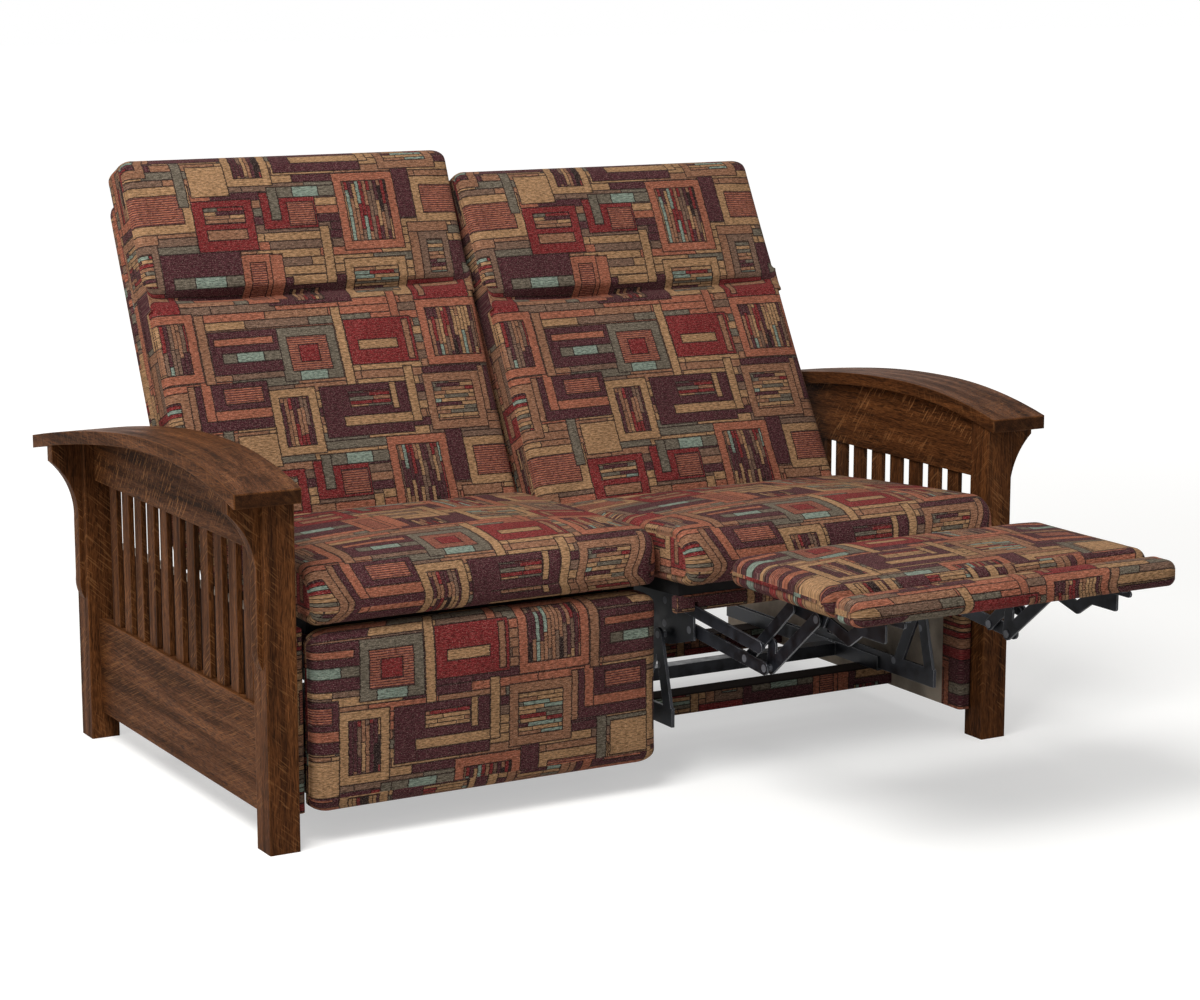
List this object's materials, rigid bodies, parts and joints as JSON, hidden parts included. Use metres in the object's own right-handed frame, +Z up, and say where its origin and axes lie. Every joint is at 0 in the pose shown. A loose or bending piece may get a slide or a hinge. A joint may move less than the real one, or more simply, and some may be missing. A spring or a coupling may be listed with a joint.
{
  "type": "reclining loveseat",
  "caption": "Two-seat reclining loveseat with slatted oak arms, patterned upholstery and a raised footrest on a folding steel linkage.",
  "frame": {"origin": "on the floor under the middle of the part's overall box as it stands at rest, with the left seat closed and the right seat's footrest raised", "axes": "+X along the seats towards a viewer's right, -Y out of the front where the sitter's legs go, +Z up"},
  "size_m": [1.638, 1.539, 1.0921],
  "materials": {
    "oak": "satin dark stain",
    "upholstery": "woven patchwork pattern",
    "covered_board": "fabric covered",
    "inner_plywood": "unfinished",
    "mechanism_steel": "semi-gloss"
  },
  "bodies": {
    "frame": {"left_front_post": "oak", "left_rear_post": "oak", "left_bottom_rail": "oak", "left_top_rail": "oak", "left_slats": "oak", "left_arm_board": "oak", "left_front_corbel": "oak", "left_rear_corbel": "oak", "left_side_panel": "covered_board", "right_front_post": "oak", "right_rear_post": "oak", "right_bottom_rail": "oak", "right_top_rail": "oak", "right_slats": "oak", "right_arm_board": "oak", "right_front_corbel": "oak", "right_rear_corbel": "oak", "right_side_panel": "covered_board", "front_stretcher": "covered_board", "rear_stretcher": "covered_board", "base_frame": "mechanism_steel"},
    "left_slide": {"left_slide_frame": "mechanism_steel"},
    "left_seat": {"left_seat_frame": "mechanism_steel", "left_front_rail": "covered_board", "left_seat_deck": "inner_plywood", "left_seat_cushion": "upholstery"},
    "left_back": {"left_back_brackets": "mechanism_steel", "left_back_cover": "upholstery", "left_back_cushion": "upholstery"},
    "left_thigh_links": {"left_thigh_links": "mechanism_steel"},
    "left_lift_links": {"left_lift_links": "mechanism_steel"},
    "left_shank_links": {"left_shank_links": "mechanism_steel"},
    "left_stay_links": {"left_stay_links": "mechanism_steel"},
    "left_footrest": {"left_footrest_brackets": "mechanism_steel", "left_footrest_board": "inner_plywood", "left_footrest_pad": "upholstery"},
    "left_folding_pad": {"left_flip_brackets": "mechanism_steel", "left_flip_board": "inner_plywood", "left_flip_pad": "upholstery"},
    "left_drive_links": {"left_drive_links": "mechanism_steel"},
    "right_slide": {"right_slide_frame": "mechanism_steel"},
    "right_seat": {"right_seat_frame": "mechanism_steel", "right_front_rail": "covered_board", "right_seat_deck": "inner_plywood", "right_seat_cushion": "upholstery"},
    "right_back": {"right_back_brackets": "mechanism_steel", "right_back_cover": "upholstery", "right_back_cushion": "upholstery"},
    "right_thigh_links": {"right_thigh_links": "mechanism_steel"},
    "right_lift_links": {"right_lift_links": "mechanism_steel"},
    "right_shank_links": {"right_shank_links": "mechanism_steel"},
    "right_stay_links": {"right_stay_links": "mechanism_steel"},
    "right_footrest": {"right_footrest_brackets": "mechanism_steel", "right_footrest_board": "inner_plywood", "right_footrest_pad": "upholstery"},
    "right_folding_pad": {"right_flip_brackets": "mechanism_steel", "right_flip_board": "inner_plywood", "right_flip_pad": "upholstery"},
    "right_drive_links": {"right_drive_links": "mechanism_steel"}
  },
  "joints": [
    {"name": "left_footrest_lift", "type": "hinge", "parent": "left_seat", "child": "left_thigh_links", "pos_m": [-0.34, -0.08449, 0.281], "axis": [-1, 0, 0], "range_deg": [0, 108.03]},
    {"name": "left_seat_glide", "type": "slide", "parent": "frame", "child": "left_slide", "axis": [0, -1, 0], "range_m": [0, 0.08602]},
    {"name": "left_seat_tilt", "type": "hinge", "parent": "left_slide", "child": "left_seat", "pos_m": [-0.34, -0.00149, 0.262], "axis": [-1, 0, 0], "range_deg": [0, 3.02]},
    {"name": "left_lift_link_swing", "type": "hinge", "parent": "left_seat", "child": "left_lift_links", "pos_m": [-0.34, -0.08611, 0.32388], "axis": [-1, 0, 0], "range_deg": [0, 108.36]},
    {"name": "left_shank_fold", "type": "hinge", "parent": "left_thigh_links", "child": "left_shank_links", "pos_m": [-0.34, 0.01903, 0.07003], "axis": [-1, 0, 0], "range_deg": [-122.78, 0]},
    {"name": "left_stay_swing", "type": "hinge", "parent": "left_thigh_links", "child": "left_stay_links", "pos_m": [-0.34, -0.00762, 0.12605], "axis": [-1, 0, 0], "range_deg": [-127.94, 0]},
    {"name": "left_footrest_turn", "type": "hinge", "parent": "left_shank_links", "child": "left_footrest", "pos_m": [-0.34, -0.09149, 0.207], "axis": [-1, 0, 0], "range_deg": [0, 101.75]},
    {"name": "left_folding_pad_turn", "type": "hinge", "parent": "left_footrest", "child": "left_folding_pad", "pos_m": [-0.34, -0.12299, 0.061], "axis": [-1, 0, 0], "range_deg": [0, 180.02]},
    {"name": "left_drive_link_swing", "type": "hinge", "parent": "left_shank_links", "child": "left_drive_links", "pos_m": [-0.34, -0.09149, 0.207], "axis": [-1, 0, 0], "range_deg": [0, 181.75]},
    {"name": "left_back_recline", "type": "hinge", "parent": "left_seat", "child": "left_back", "pos_m": [-0.34, 0.41051, 0.345], "axis": [-1, 0, 0], "range_deg": [0, 27.5]},
    {"name": "right_footrest_lift", "type": "hinge", "parent": "right_seat", "child": "right_thigh_links", "pos_m": [0.34, -0.16938, 0.28532], "axis": [-1, 0, 0], "range_deg": [-108.03, 0]},
    {"name": "right_seat_glide", "type": "slide", "parent": "frame", "child": "right_slide", "axis": [0, -1, 0], "range_m": [-0.08602, 0]},
    {"name": "right_seat_tilt", "type": "hinge", "parent": "right_slide", "child": "right_seat", "pos_m": [0.34, -0.08749, 0.262], "axis": [-1, 0, 0], "range_deg": [-3.02, 0]},
    {"name": "right_lift_link_swing", "type": "hinge", "parent": "right_seat", "child": "right_lift_links", "pos_m": [0.34, -0.16876, 0.32822], "axis": [-1, 0, 0], "range_deg": [-108.36, 0]},
    {"name": "right_shank_fold", "type": "hinge", "parent": "right_thigh_links", "child": "right_shank_links", "pos_m": [0.34, -0.40345, 0.26438], "axis": [-1, 0, 0], "range_deg": [0, 122.78]},
    {"name": "right_stay_swing", "type": "hinge", "parent": "right_thigh_links", "child": "right_stay_links", "pos_m": [0.34, -0.3416, 0.26916], "axis": [-1, 0, 0], "range_deg": [0, 127.94]},
    {"name": "right_footrest_turn", "type": "hinge", "parent": "right_shank_links", "child": "right_footrest", "pos_m": [0.34, -0.53951, 0.37602], "axis": [-1, 0, 0], "range_deg": [-101.75, 0]},
    {"name": "right_folding_pad_turn", "type": "hinge", "parent": "right_footrest", "child": "right_folding_pad", "pos_m": [0.34, -0.68551, 0.40752], "axis": [-1, 0, 0], "range_deg": [-180.02, 0]},
    {"name": "right_drive_link_swing", "type": "hinge", "parent": "right_shank_links", "child": "right_drive_links", "pos_m": [0.34, -0.53951, 0.37602], "axis": [-1, 0, 0], "range_deg": [-181.75, 0]},
    {"name": "right_back_recline", "type": "hinge", "parent": "right_seat", "child": "right_back", "pos_m": [0.34, 0.32829, 0.32332], "axis": [-1, 0, 0], "range_deg": [-1.5, 26]}
  ],
  "couplings": [
    {"joint": "left_seat_glide", "follows": "left_footrest_lift", "m_per_rad": 0.045613},
    {"joint": "left_seat_tilt", "follows": "left_footrest_lift", "ratio": 0.027771},
    {"joint": "left_lift_link_swing", "follows": "left_footrest_lift", "ratio": 1.0029},
    {"joint": "left_shank_fold", "follows": "left_footrest_lift", "ratio": -1.1363},
    {"joint": "left_stay_swing", "follows": "left_footrest_lift", "ratio": -1.1842},
    {"joint": "left_footrest_turn", "follows": "left_footrest_lift", "ratio": 0.9417},
    {"joint": "left_folding_pad_turn", "follows": "left_footrest_lift", "ratio": 1.6662},
    {"joint": "left_drive_link_swing", "follows": "left_footrest_lift", "ratio": 1.6823},
    {"joint": "right_seat_glide", "follows": "right_footrest_lift", "m_per_rad": 0.045613},
    {"joint": "right_seat_tilt", "follows": "right_footrest_lift", "ratio": 0.027771},
    {"joint": "right_lift_link_swing", "follows": "right_footrest_lift", "ratio": 1.0029},
    {"joint": "right_shank_fold", "follows": "right_footrest_lift", "ratio": -1.1363},
    {"joint": "right_stay_swing", "follows": "right_footrest_lift", "ratio": -1.1842},
    {"joint": "right_footrest_turn", "follows": "right_footrest_lift", "ratio": 0.9417},
    {"joint": "right_folding_pad_turn", "follows": "right_footrest_lift", "ratio": 1.6662},
    {"joint": "right_drive_link_swing", "follows": "right_footrest_lift", "ratio": 1.6823}
  ]
}
